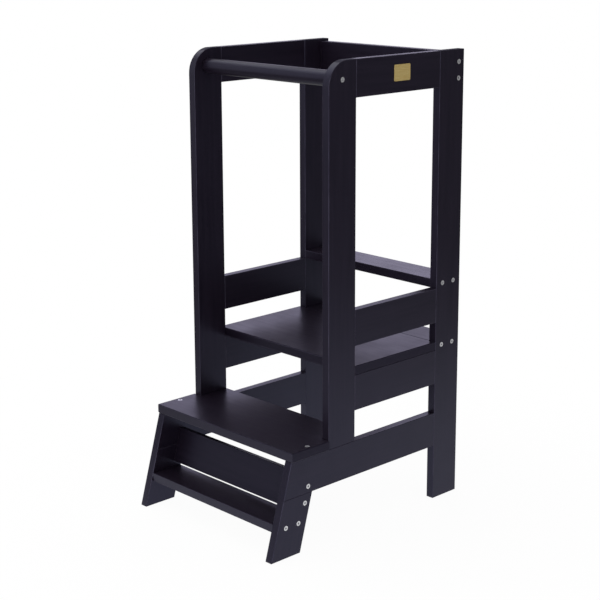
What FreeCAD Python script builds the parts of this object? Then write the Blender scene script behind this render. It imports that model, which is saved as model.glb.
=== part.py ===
import FreeCAD, Part
import math
import os

# Kitchen helper stool for a young child: two side frames of butt-jointed wooden boards, joined by a
# handle bar, two back rails, a standing platform, a lower step and a foot tread.
# Millimetres. +Z up from the floor, -Y is the side that the child climbs from, X = 0 is the middle.

V = FreeCAD.Vector
os.makedirs("parts", exist_ok=True)

# ---- sizes that can be set one by one ----------------------------------------------------------
tower_height = 910.0      # floor to the top of the side frames
stool_width = 390.0       # over the outer faces of the two side frames
board_t = 17.0            # thickness of the frame boards, top back rail, riser and tread
board_w = 70.0            # width of those boards
deck_t = 18.0             # thickness of the boards that lie flat: platform, step, middle back rail
post_gap = 230.0          # clear distance between front and rear posts
platform_top = 332.5      # height of the standing surface
step_top = 201.5          # height of the lower step
guard_bottom = 372.0      # underside of the guard rails
step_overhang = 96.0      # how far the step stands out in front of the posts
step_proud = 2.5          # how far its ends stand out beside the side frames
leg_lean = 15.8           # lean of the front legs, degrees from upright
corner_r = 48.0           # rounding of the front posts' top corner
edge_break = 0.6          # bevel along the edges of every board's broad faces

handle_d = 30.0           # grab bar between the front posts
handle_in = 35.0          # its axis behind the posts' front edge
handle_down = 35.0        # its axis below the top

back_drop = 5.0           # top back rail below the top of the frames
back_inset = 6.0          # its rear face in from the posts' rear edge
tread_drop = 133.5        # foot tread between the front legs, from the step's top down to its own
tread_proud = 0.8         # its front edge ahead of the legs' leaning edge
riser_gap = 6.8           # riser's lowest edge above the tread
riser_w = 70.0            # its width
riser_inset = 4.5         # riser's rear face in from the legs' rear edge, square to the lean
riser_screw_up = 12.4     # its upper screw above the joint of leg and lower rail
riser_screw_down = 18.4   # its lower screw below that joint

plate_w = 44.0            # bare name plate on the right top rail
plate_h = 31.0
plate_t = 0.8
plate_r = 2.5             # its corner rounding
plate_rim = 1.6           # raised border, width and height
plate_rim_h = 0.3
plate_back = 100.0        # front edge of the plate behind the posts' rear edge
plate_down = 17.5         # its top below the top of the frame

screw_len = 50.0          # connector screws with a hexagon socket
screw_d = 7.0
head_d = 9.6
head_t = 2.5
head_sink = 0.3
socket_af = 4.0           # across the flats
socket_deep = 2.0
screw_pitch = 32.0        # between the two screws of a pair
step_screw_back = 48.5    # step screw behind the step's front edge

tenon_t = 6.0             # loose tenons glued into the butt joints of the side frames
tenon_w = 30.0
tenon_len = 36.0
deck_tenon_w = 24.0       # those that hold the platform and the step down on their rails
deck_tenon_len = 24.0
deck_tenon_up = 10.0      # their length inside the deck board
deck_tenon_in = 32.0      # middle of the platform's tenons in from its front and rear edges
step_tenon_back = 28.0    # middle of the step's tenons behind its front edge
leg_tenon_in = 30.0       # middle of the leg's tenon behind its leaning front edge

hole_gap = 0.3            # all round a screw in its hole
hole_over = 1.0           # its cutter starts this far outside the board
hole_deep = 0.5           # past the end of a screw
slot_gap = 0.1            # all round a tenon in its slot
slot_deep = 0.5           # past each end of a tenon
deck_gap = 0.3            # deck boards to the posts beside them

# ---- what follows from them ---------------------------------------------------------------------
lean = math.radians(leg_lean)
tan_l, cos_l, sin_l = math.tan(lean), math.cos(lean), math.sin(lean)

x_out = stool_width / 2.0             # outer faces of the side frames
x_in = x_out - board_t                # inner faces
x_mid = x_out - board_t / 2.0

step_under = step_top - deck_t
low_bottom = step_under - board_w     # underside of the long lower rails
tread_top = step_top - tread_drop
plat_under = platform_top - deck_t
leg_run = tan_l * step_under          # how far the toes stand out in front of the step
depth = 2.0 * board_w + post_gap + step_overhang + leg_run

y_rear = depth / 2.0                  # rear edge of the rear posts
y_r0 = y_rear - board_w               # front edge of the rear posts
y_f1 = y_r0 - post_gap                # rear edge of the front posts
y_f0 = y_f1 - board_w                 # front edge of the front posts
y_step = y_f0 - step_overhang         # front edge of the step


def leg_front(z):
    """Y of the leaning front edge at height z."""
    return y_step - tan_l * (step_under - z)


def leg_rear(z):
    return leg_front(z) + board_w / cos_l


# ---- shapes ---------------------------------------------------------------------------------------
def eased(shape, thin):
    """Breaks the edges of a board's two broad faces; thin is the direction of its thickness."""
    edges = [e for e in shape.Edges if abs(e.tangentAt(e.FirstParameter).dot(thin)) < 0.5]
    return shape.makeChamfer(edge_break, edges)


def board(x0, x1, y0, y1, z0, z1):
    box = Part.makeBox(x1 - x0, y1 - y0, z1 - z0, V(x0, y0, z0))
    thin = min((x1 - x0, V(1, 0, 0)), (y1 - y0, V(0, 1, 0)), (z1 - z0, V(0, 0, 1)), key=lambda d: d[0])[1]
    return eased(box, thin)


def side_prism(points, x0, x1):
    """A board lying in a side frame, from its outline in Y and Z."""
    loop = [V(x0, y, z) for y, z in points]
    return eased(Part.Face(Part.makePolygon(loop + loop[:1])).extrude(V(x1 - x0, 0, 0)), V(1, 0, 0))


def front_post(x0, x1):
    y0, y1, z0, z1, r = y_f0, y_f1, step_under, tower_height, corner_r
    k = r * (1.0 - math.sqrt(0.5))
    edges = [
        Part.makeLine(V(x0, y0, z0), V(x0, y0, z1 - r)),
        Part.Arc(V(x0, y0, z1 - r), V(x0, y0 + k, z1 - k), V(x0, y0 + r, z1)).toShape(),
        Part.makeLine(V(x0, y0 + r, z1), V(x0, y1, z1)),
        Part.makeLine(V(x0, y1, z1), V(x0, y1, z0)),
        Part.makeLine(V(x0, y1, z0), V(x0, y0, z0)),
    ]
    return eased(Part.Face(Part.Wire(edges)).extrude(V(x1 - x0, 0, 0)), V(1, 0, 0))


def cylinder(r, length, base, axis):
    return Part.makeCylinder(r, length, base, axis)


def hexagon(base, axis, r, length):
    """Six-sided prism, r from its middle to a corner."""
    up = V(0, 0, 1) if abs(axis.z) < 0.5 else V(0, 1, 0)
    side = axis.cross(up)
    turns = [math.radians(60.0 * i) for i in range(6)]
    loop = [base + (up * math.cos(a) + side * math.sin(a)) * r for a in turns]
    return Part.Face(Part.makePolygon(loop + loop[:1])).extrude(axis * length)


def screw(base, axis):
    """Connector screw with its head just below the point base; axis points into the wood.

    The threaded shank, which never shows, is six-sided: it keeps the facets of all the screws few.
    """
    top = base + axis * head_sink
    head = cylinder(head_d / 2.0, head_t, top, axis)
    shank = hexagon(top + axis * head_t, axis, screw_d / 2.0, screw_len - head_t)
    socket = hexagon(top, axis, socket_af / math.sqrt(3.0), socket_deep)
    return head.fuse(shank).cut(socket)


def screw_hole(base, axis):
    out = base - axis * hole_over
    pocket = cylinder(head_d / 2.0 + hole_gap, hole_over + head_sink + head_t, out, axis)
    bore = hexagon(out, axis, screw_d / 2.0 + hole_gap, hole_over + head_sink + screw_len + hole_deep)
    return pocket.fuse(bore)


def tenon(middle, size):
    """Loose tenon centred on a point, and its slot; size is its extent along X, Y and Z, the longest last."""
    half = size * 0.5
    solid = Part.makeBox(size.x, size.y, size.z, middle - half)
    grow = V(*[slot_deep if v == max(size) else slot_gap for v in size])
    room = size + grow * 2.0
    return solid, Part.makeBox(room.x, room.y, room.z, middle - half - grow)


# ---- the boards, each with its own name ------------------------------------------------------------
parts = {}

guard_top = guard_bottom + board_w
rail_levels = {
    "top_rail": tower_height - board_w,
    "guard_rail": guard_bottom,
    "platform_rail": plat_under - board_w,
}
for side, s in (("left", -1.0), ("right", 1.0)):
    x0, x1 = sorted((s * x_in, s * x_out))
    parts[side + "_front_post"] = front_post(x0, x1)
    parts[side + "_rear_post"] = board(x0, x1, y_r0, y_rear, 0.0, tower_height)
    for name, z in rail_levels.items():
        parts[side + "_" + name] = board(x0, x1, y_f1, y_r0, z, z + board_w)
    parts[side + "_lower_rail"] = side_prism(
        [(y_r0, low_bottom), (y_r0, step_under), (leg_front(step_under), step_under),
         (leg_front(low_bottom), low_bottom)], x0, x1)
    parts[side + "_front_leg"] = side_prism(
        [(leg_front(0.0), 0.0), (leg_rear(0.0), 0.0), (leg_rear(low_bottom), low_bottom),
         (leg_front(low_bottom), low_bottom)], x0, x1)

handle_y, handle_z = y_f0 + handle_in, tower_height - handle_down
parts["handle_bar"] = cylinder(handle_d / 2.0, 2.0 * x_in, V(-x_in, handle_y, handle_z), V(1, 0, 0))

back_y1 = y_rear - back_inset
back_y0 = back_y1 - board_t
back_z1 = tower_height - back_drop
back_z0 = back_z1 - board_w
parts["top_back_rail"] = board(-x_in, x_in, back_y0, back_y1, back_z0, back_z1)
parts["mid_back_rail"] = board(-x_in, x_in, y_r0, y_rear, guard_top, guard_top + deck_t)

parts["platform_board"] = board(-x_out, x_out, y_f1 + deck_gap, y_r0 - deck_gap, plat_under, platform_top)
parts["platform_rear_board"] = board(-x_in, x_in, y_r0 - deck_gap, y_rear, plat_under, platform_top)

notch_x, notch_y = x_in - deck_gap, y_f0 - deck_gap
end_x = x_out + step_proud
outline = [(-end_x, y_step), (end_x, y_step), (end_x, notch_y), (notch_x, notch_y), (notch_x, y_f1),
           (-notch_x, y_f1), (-notch_x, notch_y), (-end_x, notch_y)]
loop = [V(x, y, step_under) for x, y in outline]
step = Part.Face(Part.makePolygon(loop + loop[:1])).extrude(V(0, 0, deck_t))
parts["step_board"] = eased(step, V(0, 0, 1))

tread_bottom = tread_top - board_t
tread_y0 = leg_front(tread_top) - tread_proud
tread_y1 = tread_y0 + board_w
parts["foot_tread"] = board(-x_in, x_in, tread_y0, tread_y1, tread_bottom, tread_top)

# the riser leans with the legs: a board drawn upright, then turned about X
riser_z = tread_top + riser_gap + (riser_w / 2.0) * cos_l + (board_t / 2.0) * sin_l
riser_y = leg_rear(riser_z) - (riser_inset + board_t / 2.0) / cos_l
riser = board(-x_in, x_in, -board_t / 2.0, board_t / 2.0, -riser_w / 2.0, riser_w / 2.0)
riser.rotate(V(0, 0, 0), V(1, 0, 0), -leg_lean)
riser.translate(V(0, riser_y, riser_z))
parts["riser_board"] = riser

# ---- bare name plate with a raised border ----------------------------------------------------------
plate_y = y_f1 + plate_back
plate_z = tower_height - plate_down - plate_h


def plate_block(x, margin, thick):
    size_y, size_z = plate_w - 2.0 * margin, plate_h - 2.0 * margin
    block = Part.makeBox(thick, size_y, size_z, V(x, plate_y + margin, plate_z + margin))
    corners = [e for e in block.Edges if abs(e.Vertexes[0].X - e.Vertexes[-1].X) > thick / 2.0]
    return block.makeFillet(plate_r - margin, corners)


plate = plate_block(x_out, 0.0, plate_t)
field = plate_block(x_out + plate_t - plate_rim_h, plate_rim, 2.0 * plate_rim_h)
parts["name_plate"] = plate.cut(field)

# ---- tenons and screws, and their holes --------------------------------------------------------------
groups = {}


def add(group, solid, hole, *boards):
    groups.setdefault(group, []).append(solid)
    for name in boards:
        parts[name] = parts[name].cut(hole)


half = screw_pitch / 2.0
post_mid = y_rear - board_w / 2.0
riser_levels = (low_bottom - riser_screw_down, low_bottom + riser_screw_up)
joints = [
    ("handle_screws", [(handle_y, handle_z)], "handle_bar", ["front_post"]),
    ("top_back_screws", [((back_y0 + back_y1) / 2.0, (back_z0 + back_z1) / 2.0 + d) for d in (-half, half)],
     "top_back_rail", ["rear_post"]),
    ("mid_back_screws", [(post_mid + d, guard_top + deck_t / 2.0) for d in (-half, half)],
     "mid_back_rail", ["rear_post"]),
    ("platform_screws", [(post_mid + d, plat_under + deck_t / 2.0) for d in (-half, half)],
     "platform_rear_board", ["rear_post"]),
    ("riser_screws", [(riser_y + tan_l * (z - riser_z), z) for z in riser_levels],
     "riser_board", ["front_leg", "lower_rail"]),
    ("tread_screws", [((tread_y0 + tread_y1) / 2.0 + d, (tread_bottom + tread_top) / 2.0) for d in (-half, half)],
     "foot_tread", ["front_leg"]),
]
for side, s in (("left", -1.0), ("right", 1.0)):
    inward = V(-s, 0, 0)
    for group, places, cross, frame in joints:
        for y, z in places:
            at = V(s * x_out, y, z)
            add(group, screw(at, inward), screw_hole(at, inward), cross, *[side + "_" + f for f in frame])

    at = V(s * x_mid, y_step + step_screw_back, step_top)
    add("step_screws", screw(at, V(0, 0, -1)), screw_hole(at, V(0, 0, -1)), "step_board", side + "_lower_rail")

    # rails into the posts: one loose tenon across each upright joint
    frame_tenons = side + "_frame_tenons"
    for name, z in list(rail_levels.items()) + [("lower_rail", low_bottom)]:
        for y, post in ((y_f1, "front_post"), (y_r0, "rear_post")):
            if name == "lower_rail" and post == "front_post":
                continue
            at = V(s * x_mid, y, z + board_w / 2.0)
            add(frame_tenons, *tenon(at, V(tenon_t, tenon_len, tenon_w)), side + "_" + name, side + "_" + post)

    # front post and leg onto the long lower rail
    for y, z, name in ((y_f0 + board_w / 2.0, step_under, "front_post"),
                       (leg_front(low_bottom) + leg_tenon_in, low_bottom, "front_leg")):
        at = V(s * x_mid, y, z)
        add(frame_tenons, *tenon(at, V(tenon_t, tenon_w, tenon_len)), side + "_lower_rail", side + "_" + name)

    # platform and step boards down onto their rails
    deck = [("platform_tenons", y, plat_under, "platform_board", "platform_rail")
            for y in (y_f1 + deck_tenon_in, y_r0 - deck_tenon_in)]
    deck += [("step_tenons", y_step + step_tenon_back, step_under, "step_board", "lower_rail")]
    for group, y, z, top, rail in deck:
        at = V(s * x_mid, y, z + deck_tenon_up - deck_tenon_len / 2.0)
        add(group, *tenon(at, V(tenon_t, deck_tenon_w, deck_tenon_len)), top, side + "_" + rail)

# ---- one file per name -----------------------------------------------------------------------------
for name, solids in groups.items():
    parts[name] = Part.makeCompound(solids)
for name, shape in parts.items():
    if shape.ShapeType == "Compound" and len(shape.Solids) == 1:
        shape = shape.Solids[0]
    shape.exportStep("parts/" + name + ".step")
    box = shape.BoundBox
    print(f"{name:22s} solids {len(shape.Solids)}  x {box.XMin:.1f}..{box.XMax:.1f}  "
          f"y {box.YMin:.1f}..{box.YMax:.1f}  z {box.ZMin:.1f}..{box.ZMax:.1f}  valid {shape.isValid()}")
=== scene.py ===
import math

import bmesh
import bpy
from mathutils import Matrix, Vector


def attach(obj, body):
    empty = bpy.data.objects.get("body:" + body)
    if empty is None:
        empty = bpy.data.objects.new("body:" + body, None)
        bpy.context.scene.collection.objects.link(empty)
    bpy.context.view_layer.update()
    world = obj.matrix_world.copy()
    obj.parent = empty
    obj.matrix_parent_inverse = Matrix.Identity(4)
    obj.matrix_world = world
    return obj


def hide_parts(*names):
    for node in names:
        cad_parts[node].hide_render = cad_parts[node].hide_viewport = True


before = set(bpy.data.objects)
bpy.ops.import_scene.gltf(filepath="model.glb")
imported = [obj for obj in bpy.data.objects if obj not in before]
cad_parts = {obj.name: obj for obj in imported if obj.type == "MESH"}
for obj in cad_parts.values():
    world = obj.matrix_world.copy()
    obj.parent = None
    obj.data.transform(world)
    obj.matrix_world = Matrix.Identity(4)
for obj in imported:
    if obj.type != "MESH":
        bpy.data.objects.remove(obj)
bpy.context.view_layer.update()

MM = 0.001
QUARTER_TURN = math.pi / 2
LEG_LEAN = math.radians(15.8)    # of the front legs and of the lower rails' front ends, as in the CAD

BOARD_ROUND_OVER = 0.35 * MM     # of each arris, on top of the CAD's own bevel
SCREW_ROUND_OVER = 0.3 * MM
PLATE_ROUND_OVER = 0.12 * MM
DECK_END_EXTRA = 0.8 * MM        # by which the bevels at the deck boards' ends are wider than in the CAD
ARRIS_WIDTH = 1.3 * MM           # a face narrower than this belongs to an arris
UPRIGHT_WEAR_AND_HIGHLIGHT = 1.0               # how far the film is rubbed thin on upright arrises, and how much painted highlight they get
TOP_WEAR_AND_HIGHLIGHT = 0.1                   # and on level ones that face up
GROOVE_DULL = 2.0                # dullness of level arrises, where end grain has 1
BACK_RAIL_RUBBED = 0.25          # and how much smoother hands keep the middle back rail
NEXT_BOARD = 0.37                # metres of pattern from one board to the next


# ---- small helpers -----------------------------------------------------------------------------------
def linear(code):
    """An sRGB hex value as the linear colour that Blender's sockets take."""
    channels = [int(code[i:i + 2], 16) / 255.0 for i in (1, 3, 5)]
    return (*[c / 12.92 if c <= 0.04045 else ((c + 0.055) / 1.055) ** 2.4 for c in channels], 1.0)


def grey(value):
    """A mask's value, or white at 1, as a colour socket takes it."""
    return (value, value, value, 1.0)


def add(tree, kind, settings=None, stops=(), **inputs):
    """Adds one node. settings are its properties, stops the places and colours of a colour ramp's
    points, and inputs are values or the sockets that feed it; i0, i1 and so on count them."""
    made = tree.nodes.new("ShaderNode" + kind)
    for name, value in (settings or {}).items():
        setattr(made, name, value)
    for point, (place, colour) in zip(made.color_ramp.elements if stops else (), stops):
        point.position = place
        point.color = colour
    for name, value in inputs.items():
        counted = name[0] == "i" and name[1:].isdigit()
        socket = made.inputs[int(name[1:]) if counted else name.replace("_", " ")]
        if isinstance(value, bpy.types.NodeSocket):
            tree.links.new(value, socket)
        else:
            socket.default_value = value
    return made


def new_material(name):
    """A material, its node tree and its shader."""
    made = bpy.data.materials.new(name)
    made.use_nodes = True
    return made, made.node_tree, made.node_tree.nodes["Principled BSDF"]


# ---- materials ---------------------------------------------------------------------------------------
def satin_lacquer(name, turn):
    """Satin black lacquer on close-grained hardwood, sprayed and rubbed down.

    turn brings a board's long direction onto the pattern's X. The film is nearly black with a cold
    violet cast, and the grain only shows as faint long streaks in its gloss. Upright arrises are
    rubbed to a thinner, greyer film, and that lighter colour is also a painted highlight along them.
    End grain drinks the lacquer and level arrises catch little of the spray, so both stay dull, and
    hands keep the middle back rail smooth.
    """
    made, tree, skin = new_material(name)
    place = add(tree, "TexCoord").outputs["Object"]
    shift = add(tree, "Attribute", {"attribute_name": "board_shift"}).outputs["Fac"]
    board = add(tree, "CombineXYZ", X=shift, Y=shift, Z=shift).outputs["Vector"]
    moved = add(tree, "VectorMath", {"operation": "ADD"}, i0=place, i1=board).outputs["Vector"]
    along = add(tree, "Mapping", Vector=moved, Rotation=turn).outputs["Vector"]

    # grain bands: 7 mm wide and 160 mm long; true ones are 2 to 4 mm, drawn coarser so that they show
    band_scale = (1 / (160 * MM), 1 / (7 * MM), 1 / (7 * MM))
    bands_at = add(tree, "Mapping", Vector=along, Scale=band_scale).outputs["Vector"]
    bands = add(tree, "TexNoise", Vector=bands_at, Scale=1.0, Detail=3.0, Roughness=0.55,
                Distortion=0.4).outputs["Fac"]
    # pores: 0.5 mm wide and 12 mm long
    pore_scale = (1 / (12 * MM), 1 / (0.5 * MM), 1 / (0.5 * MM))
    pores_at = add(tree, "Mapping", Vector=along, Scale=pore_scale).outputs["Vector"]
    pores = add(tree, "TexNoise", Vector=pores_at, Scale=1.0, Detail=2.0, Roughness=0.6).outputs["Fac"]
    pits = add(tree, "ValToRGB", stops=[(0.32, grey(0.0)), (0.45, grey(1.0))], Fac=pores).outputs["Color"]
    # spray texture: soft dimples of 2 mm
    spray = add(tree, "TexNoise", Vector=moved, Scale=1 / (2 * MM), Detail=1.0).outputs["Fac"]
    # handling: patches of 60 mm
    patches = add(tree, "TexNoise", Vector=moved, Scale=1 / (60 * MM), Detail=4.0,
                  Roughness=0.6).outputs["Fac"]

    film_shades = [(0.30, linear("#17111a")), (0.72, linear("#1e1721"))]
    film = add(tree, "ValToRGB", stops=film_shades, Fac=bands).outputs["Color"]
    arris = add(tree, "Attribute", {"attribute_name": "arris"}).outputs["Fac"]
    rub_and_highlight_stops = [(0.42, grey(0.25)), (0.66, grey(0.9))]
    rub_and_highlight = add(tree, "ValToRGB", stops=rub_and_highlight_stops, Fac=patches).outputs["Color"]
    worn_and_highlit = add(tree, "Math", {"operation": "MULTIPLY"}, i0=arris, i1=rub_and_highlight).outputs["Value"]
    # the lighter colour on arrises is partly edge wear and partly a painted highlight
    colour = add(tree, "Mix", {"data_type": "RGBA"}, i0=worn_and_highlit, i6=film, i7=linear("#4b4654")).outputs[2]
    tree.links.new(colour, skin.inputs["Base Color"])

    by_grain = add(tree, "MapRange", Value=bands, From_Min=0.3, From_Max=0.7, To_Min=0.33,
                   To_Max=0.39).outputs["Result"]
    by_hand = add(tree, "MapRange", Value=patches, From_Min=0.3, From_Max=0.7, To_Min=-0.03,
                  To_Max=0.04).outputs["Result"]
    rough = add(tree, "Math", {"operation": "ADD"}, i0=by_grain, i1=by_hand).outputs["Value"]
    dull = add(tree, "Attribute", {"attribute_name": "dull"}).outputs["Fac"]
    duller = add(tree, "Math", {"operation": "MULTIPLY_ADD"}, i0=dull, i1=0.3, i2=rough).outputs["Value"]
    polished = add(tree, "Math", {"operation": "MULTIPLY_ADD"}, i0=arris, i1=-0.05, i2=duller)
    tree.links.new(polished.outputs["Value"], skin.inputs["Roughness"])

    skin.inputs["IOR"].default_value = 1.5
    skin.inputs["Specular IOR Level"].default_value = 0.42
    skin.inputs["Specular Tint"].default_value = linear("#bcc4ff")
    grain = add(tree, "Bump", Strength=0.12, Distance=0.06 * MM, Height=pits).outputs["Normal"]
    waves = add(tree, "Bump", Strength=0.3, Distance=0.1 * MM, Height=bands, Normal=grain).outputs["Normal"]
    dimples = add(tree, "Bump", Strength=0.2, Distance=0.04 * MM, Height=spray, Normal=waves)
    tree.links.new(dimples.outputs["Normal"], skin.inputs["Normal"])
    return made


def zinc_plate():
    """Bright zinc-plated steel of connector screws: cold light grey with a fine blotchy bloom, and
    painted shade that darkens the hexagon sockets where they are occluded."""
    made, tree, skin = new_material("bright_zinc_plating")
    place = add(tree, "TexCoord").outputs["Object"]
    # blotches of 1.4 mm
    bloom = add(tree, "TexNoise", Vector=place, Scale=1 / (1.4 * MM), Detail=3.0).outputs["Fac"]
    zinc_shades = [(0.3, linear("#cccdd2")), (0.7, linear("#e8e8eb"))]
    plating = add(tree, "ValToRGB", stops=zinc_shades, Fac=bloom).outputs["Color"]
    # painted shade: the sockets and other hollows of the head go dark by their ambient occlusion
    occlusion_for_shade = add(tree, "AmbientOcclusion", {"samples": 8, "only_local": True}, Distance=2.5 * MM)
    painted_socket_shade_stops = [(0.35, linear("#1a1a1e")), (0.6, grey(1.0))]
    painted_socket_shade = add(tree, "ValToRGB", stops=painted_socket_shade_stops, Fac=occlusion_for_shade.outputs["AO"]).outputs["Color"]
    colour = add(tree, "Mix", {"data_type": "RGBA", "blend_type": "MULTIPLY"}, i0=1.0, i6=plating, i7=painted_socket_shade)
    tree.links.new(colour.outputs[2], skin.inputs["Base Color"])
    skin.inputs["Metallic"].default_value = 0.75
    rough = add(tree, "MapRange", Value=bloom, To_Min=0.2, To_Max=0.42)
    tree.links.new(rough.outputs["Result"], skin.inputs["Roughness"])
    # turning marks: 0.3 mm
    scratches = add(tree, "TexNoise", Vector=place, Scale=1 / (0.3 * MM), Detail=1.0).outputs["Fac"]
    bump = add(tree, "Bump", Strength=0.2, Distance=0.02 * MM, Height=scratches)
    tree.links.new(bump.outputs["Normal"], skin.inputs["Normal"])
    return made


def gold_foil():
    """Thin brass-coloured aluminium plate, brushed along its length under clear varnish: fine level
    streaks of paler and deeper gold."""
    made, tree, skin = new_material("brushed_gold_aluminium")
    place = add(tree, "TexCoord").outputs["Object"]
    # brush lines: 0.3 mm wide and 20 mm long
    line_scale = (1.0, 1 / (20 * MM), 1 / (0.3 * MM))
    lines_at = add(tree, "Mapping", Vector=place, Scale=line_scale).outputs["Vector"]
    lines = add(tree, "TexNoise", Vector=lines_at, Scale=1.0, Detail=2.0).outputs["Fac"]
    gold_shades = [(0.3, linear("#c6a658")), (0.7, linear("#e6d296"))]
    colour = add(tree, "ValToRGB", stops=gold_shades, Fac=lines)
    tree.links.new(colour.outputs["Color"], skin.inputs["Base Color"])
    skin.inputs["Metallic"].default_value = 0.5
    rough = add(tree, "MapRange", Value=lines, To_Min=0.26, To_Max=0.46)
    tree.links.new(rough.outputs["Result"], skin.inputs["Roughness"])
    bump = add(tree, "Bump", Strength=0.3, Distance=0.03 * MM, Height=lines)
    tree.links.new(bump.outputs["Normal"], skin.inputs["Normal"])
    return made


def raw_beech():
    """Sawn beech of the hidden tenons: pinkish tan, with short darker flecks."""
    made, tree, skin = new_material("raw_beech")
    place = add(tree, "TexCoord").outputs["Object"]
    # flecks: 0.8 mm wide and 4 mm long
    fleck_scale = (1 / (0.8 * MM), 1 / (0.8 * MM), 1 / (4 * MM))
    flecks_at = add(tree, "Mapping", Vector=place, Scale=fleck_scale).outputs["Vector"]
    flecks = add(tree, "TexNoise", Vector=flecks_at, Scale=1.0, Detail=2.0).outputs["Fac"]
    beech_shades = [(0.35, linear("#a9825a")), (0.65, linear("#d0ac80"))]
    colour = add(tree, "ValToRGB", stops=beech_shades, Fac=flecks)
    tree.links.new(colour.outputs["Color"], skin.inputs["Base Color"])
    rough = add(tree, "MapRange", Value=flecks, To_Min=0.55, To_Max=0.75)
    tree.links.new(rough.outputs["Result"], skin.inputs["Roughness"])
    bump = add(tree, "Bump", Strength=0.3, Distance=0.1 * MM, Height=flecks)
    tree.links.new(bump.outputs["Normal"], skin.inputs["Normal"])
    return made


# one lacquer for each direction in which a board's grain runs
lacquer = {
    "x": satin_lacquer("satin_lacquer_grain_across", (0.0, 0.0, 0.0)),
    "y": satin_lacquer("satin_lacquer_grain_lengthwise", (0.0, 0.0, -QUARTER_TURN)),
    "z": satin_lacquer("satin_lacquer_grain_upright", (0.0, QUARTER_TURN, 0.0)),
    "lean": satin_lacquer("satin_lacquer_grain_leaning", (LEG_LEAN, QUARTER_TURN, 0.0)),
}
zinc = zinc_plate()
gold = gold_foil()
beech = raw_beech()


# ---- pieces ------------------------------------------------------------------------------------------
def widen_end_bevels(mesh, extra):
    """Widens the bevels at the two ends of a board that lies flat, by extra: their corners go inward
    along the board's broad face, and away from it down the board's end."""
    broad_face = {1: max(v.co.z for v in mesh.verts), -1: min(v.co.z for v in mesh.verts)}
    moves = {}
    for face in mesh.faces:
        normal = face.normal
        if abs(normal.x) < 0.5 or not 0.5 < abs(normal.z) < 0.9:
            continue
        side = 1 if normal.z > 0 else -1
        inward = -Vector((normal.x, normal.y, 0.0)).normalized()
        down_the_end = Vector((0.0, 0.0, -side))
        for corner in face.verts:
            on_broad_face = abs(corner.co.z - broad_face[side]) < 0.01 * MM
            moves.setdefault(corner, []).append(inward if on_broad_face else down_the_end)
    for corner, ways in moves.items():
        for count, way in enumerate(ways):
            # two bevels that meet in a corner move it once, if they move it the same way
            if all(way.dot(other) < 0.9 for other in ways[:count]):
                corner.co += way * extra


def mark_faces(mesh, shift, length, rubbed):
    """Writes on each face what the lacquer reads: its board's shift, its wear with a painted highlight, and
    its dullness.
    """
    arris = mesh.loops.layers.float.new("arris")
    board_shift = mesh.loops.layers.float.new("board_shift")
    dull = mesh.loops.layers.float.new("dull")
    for face in mesh.faces:
        slope = abs(face.normal.z)
        wear_and_highlight, dullness = 0.0, -rubbed
        if abs(face.normal.dot(length)) > 0.9:
            dullness = 1.0
        if face.calc_area() / max(e.calc_length() for e in face.edges) < ARRIS_WIDTH:
            # upright arrises get the lighter colour as wear and as a painted highlight; level ones facing up
            # get little
            if slope < 0.3:
                wear_and_highlight = UPRIGHT_WEAR_AND_HIGHLIGHT
            elif face.normal.z > 0.0:
                wear_and_highlight = TOP_WEAR_AND_HIGHLIGHT
            if 0.3 < slope < 0.95:
                dullness = GROOVE_DULL
        for corner in face.loops:
            corner[arris] = wear_and_highlight
            corner[board_shift] = shift
            corner[dull] = dullness


def rounded(node, round_over, finish, shift=0.0, length=Vector(), end_extra=0.0, rubbed=0.0):
    """The node's own solid as one closed mesh with its arrises rounded over, standing for the node.

    For a board, shift moves its patterns, length is its grain's direction, end_extra widens the bevels
    at its ends, and rubbed smooths its film.
    """
    mesh = bmesh.new()
    mesh.from_mesh(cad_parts[node].data)
    bmesh.ops.remove_doubles(mesh, verts=mesh.verts, dist=0.001 * MM)
    bmesh.ops.dissolve_limit(mesh, angle_limit=math.radians(0.4), verts=mesh.verts, edges=mesh.edges)
    if end_extra:
        widen_end_bevels(mesh, end_extra)
    sharp = [e for e in mesh.edges if e.is_manifold and e.calc_face_angle(0.0) > math.radians(30)]
    bmesh.ops.bevel(mesh, geom=sharp, offset=round_over, offset_type="OFFSET", segments=2, profile=0.5,
                    affect="EDGES", clamp_overlap=True, material=-1)
    for face in mesh.faces:
        face.smooth = True
        face.material_index = 0
    mark_faces(mesh, shift, length, rubbed)
    data = bpy.data.meshes.new(node + "_piece")
    mesh.to_mesh(data)
    mesh.free()
    data.materials.append(finish)
    piece = bpy.data.objects.new(node + "_piece", data)
    bpy.context.scene.collection.objects.link(piece)
    shade = piece.modifiers.new("flat_faces", "WEIGHTED_NORMAL")
    shade.keep_sharp = False
    shade.weight = 100
    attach(piece, "root")
    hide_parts(node)


deck_boards = ("platform_board", "platform_rear_board", "step_board")
grain_of = dict.fromkeys(("handle_bar", "top_back_rail", "mid_back_rail", "foot_tread", "riser_board",
                          *deck_boards), "x")
for side in ("left_", "right_"):
    grain_of.update(dict.fromkeys((side + "front_post", side + "rear_post"), "z"))
    grain_of.update(dict.fromkeys((side + "top_rail", side + "guard_rail", side + "platform_rail",
                                   side + "lower_rail"), "y"))
    grain_of[side + "front_leg"] = "lean"
length_of = {"x": Vector((1, 0, 0)), "y": Vector((0, 1, 0)), "z": Vector((0, 0, 1)),
             "lean": Vector((0, math.sin(LEG_LEAN), math.cos(LEG_LEAN)))}

for count, (name, way) in enumerate(sorted(grain_of.items())):
    rounded(name, BOARD_ROUND_OVER, lacquer[way], NEXT_BOARD * count, length_of[way],
            DECK_END_EXTRA if name in deck_boards else 0.0,
            BACK_RAIL_RUBBED if name == "mid_back_rail" else 0.0)
for name in ("handle", "top_back", "mid_back", "platform", "riser", "tread", "step"):
    rounded(name + "_screws", SCREW_ROUND_OVER, zinc)
rounded("name_plate", PLATE_ROUND_OVER, gold)
for name in ("left_frame_tenons", "right_frame_tenons", "platform_tenons", "step_tenons"):
    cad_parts[name].material_slots[0].material = beech


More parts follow.
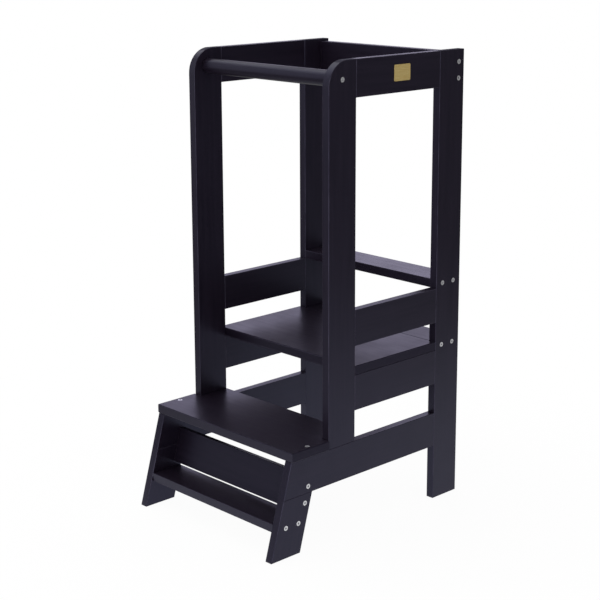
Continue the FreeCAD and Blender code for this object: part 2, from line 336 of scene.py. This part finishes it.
# ---- studio ------------------------------------------------------------------------------------------
def panel(name, centre, target, width, height, level, colour="#ffffff"):
    """A soft light panel that looks at target; level is its brightness, 1 as bright as white paper."""
    data = bpy.data.lights.new(name, "AREA")
    data.shape = "RECTANGLE"
    data.size = width
    data.size_y = height
    data.energy = math.pi * width * height * level
    data.color = linear(colour)[:3]
    lamp = bpy.data.objects.new(name, data)
    lamp.location = centre
    lamp.rotation_euler = (Vector(target) - Vector(centre)).to_track_quat("-Z", "Y").to_euler()
    lamp.visible_camera = False
    bpy.context.scene.collection.objects.link(lamp)


def by_ray(tree, direct, mirrored, spread):
    """direct for what the camera sees, mirrored for what gloss and glass show, spread for the rest."""
    ray = add(tree, "LightPath")
    bounced = add(tree, "Math", {"operation": "MAXIMUM"}, i0=ray.outputs["Is Glossy Ray"],
                  i1=ray.outputs["Is Transmission Ray"])
    caught = add(tree, "Mix", i0=bounced.outputs["Value"], i2=spread, i3=mirrored)
    return add(tree, "Mix", i0=ray.outputs["Is Camera Ray"], i2=caught.outputs[0], i3=direct).outputs[0]


panel("left_light_wall", (-2.6, 1.9, 1.1), (0.0, 0.6, 0.9), 6.4, 2.0, 1.0, "#e4dbff")
panel("front_left_softbox", (-2.2, -2.3, 1.4), (0.0, 0.0, 0.5), 3.4, 2.4, 0.45)
panel("low_strip_by_the_camera", (1.3, -1.3, 0.4), (0.0, 0.0, 0.4), 0.5, 0.8, 2.5)
panel("overhead_softbox", (-0.9, -0.4, 2.7), (-0.3, -0.1, 0.3), 3.4, 2.2, 1.35)

SMOOTH = {"interpolation_type": "SMOOTHSTEP"}
world = bpy.data.worlds.new("studio")
bpy.context.scene.world = world
world.use_nodes = True
sky = world.node_tree
# white behind the stool; what its gloss shows of the room is dim, and dimmer on its right
heading = add(sky, "SeparateXYZ", Vector=add(sky, "TexCoord").outputs["Generated"]).outputs["X"]
walls = add(sky, "MapRange", SMOOTH, Value=heading, From_Min=-0.5, From_Max=0.5, To_Min=0.22, To_Max=0.15)
sky.links.new(by_ray(sky, 1.0, walls.outputs["Result"], 0.7), sky.nodes["Background"].inputs["Strength"])
sky.nodes["Background"].inputs["Color"].default_value = grey(1.0)

floor_mesh = bmesh.new()
bmesh.ops.create_grid(floor_mesh, x_segments=1, y_segments=1, size=14.0)
floor_data = bpy.data.meshes.new("floor")
floor_mesh.to_mesh(floor_data)
floor_mesh.free()
floor = bpy.data.objects.new("floor", floor_data)
bpy.context.scene.collection.objects.link(floor)

paper = bpy.data.materials.new("white_studio_paper")
paper.use_nodes = True
sheet = paper.node_tree
sheet.nodes.remove(sheet.nodes["Principled BSDF"])
matte = add(sheet, "BsdfDiffuse", Color=linear("#f2f1f0"))
spot = add(sheet, "TexCoord").outputs["Object"]
# the camera sees plain white, with a trace of the stool's shadow near its feet
from_stool = add(sheet, "VectorMath", {"operation": "LENGTH"}, i0=spot).outputs["Value"]
white = add(sheet, "MapRange", SMOOTH, Value=from_stool, From_Min=0.4, From_Max=1.1, To_Min=0.96, To_Max=1.0)
share = by_ray(sheet, white.outputs["Result"], 1.0, 0.0)
# in the stool's gloss the paper glows with a painted pool of light: white near the stool, dimmer on its
# right, fading out 0.5 to 1.6 m from there
from_painted_pool = add(sheet, "VectorMath", {"operation": "DISTANCE"}, i0=spot, i1=(0.2, 0.2, 0.0)).outputs["Value"]
across = add(sheet, "SeparateXYZ", Vector=spot).outputs["X"]
close_by = add(sheet, "MapRange", SMOOTH, Value=across, From_Min=-0.5, From_Max=0.5, To_Min=1.0, To_Max=0.8)
painted_light_pool = add(sheet, "MapRange", SMOOTH, Value=from_painted_pool, From_Min=0.5, From_Max=1.6,
          To_Min=close_by.outputs["Result"], To_Max=0.16)
# the paper's glow for gloss rays is painted light, not lamplight
glow = add(sheet, "Emission", Color=grey(1.0), Strength=by_ray(sheet, 1.0, painted_light_pool.outputs["Result"], 1.0))
mixed = add(sheet, "MixShader", i0=share, i1=matte.outputs["BSDF"], i2=glow.outputs["Emission"])
sheet.links.new(mixed.outputs["Shader"], sheet.nodes["Material Output"].inputs["Surface"])
floor_data.materials.append(paper)

# ---- camera at the photograph's angle, from the fit of the boards' edges to it -----------------------
view = bpy.data.cameras.new("photo_view")
view.sensor_width = 36.0
view.lens = 86.44
view.shift_y = -0.08308
view.clip_start = 0.05
view.clip_end = 60.0
camera = bpy.data.objects.new("photo_view", view)
azimuth = Matrix.Rotation(math.radians(46.3225), 4, "Z")
tilt = Matrix.Rotation(math.radians(90.0 - 12.8369), 4, "X")
roll = Matrix.Rotation(math.radians(-0.2215), 4, "Z")
turn = azimuth @ tilt @ roll
camera.matrix_world = Matrix.Translation((2.00559, -1.91232, 1.15047)) @ turn
bpy.context.scene.collection.objects.link(camera)
bpy.context.scene.camera = camera
bpy.context.scene.view_settings.view_transform = "Standard"
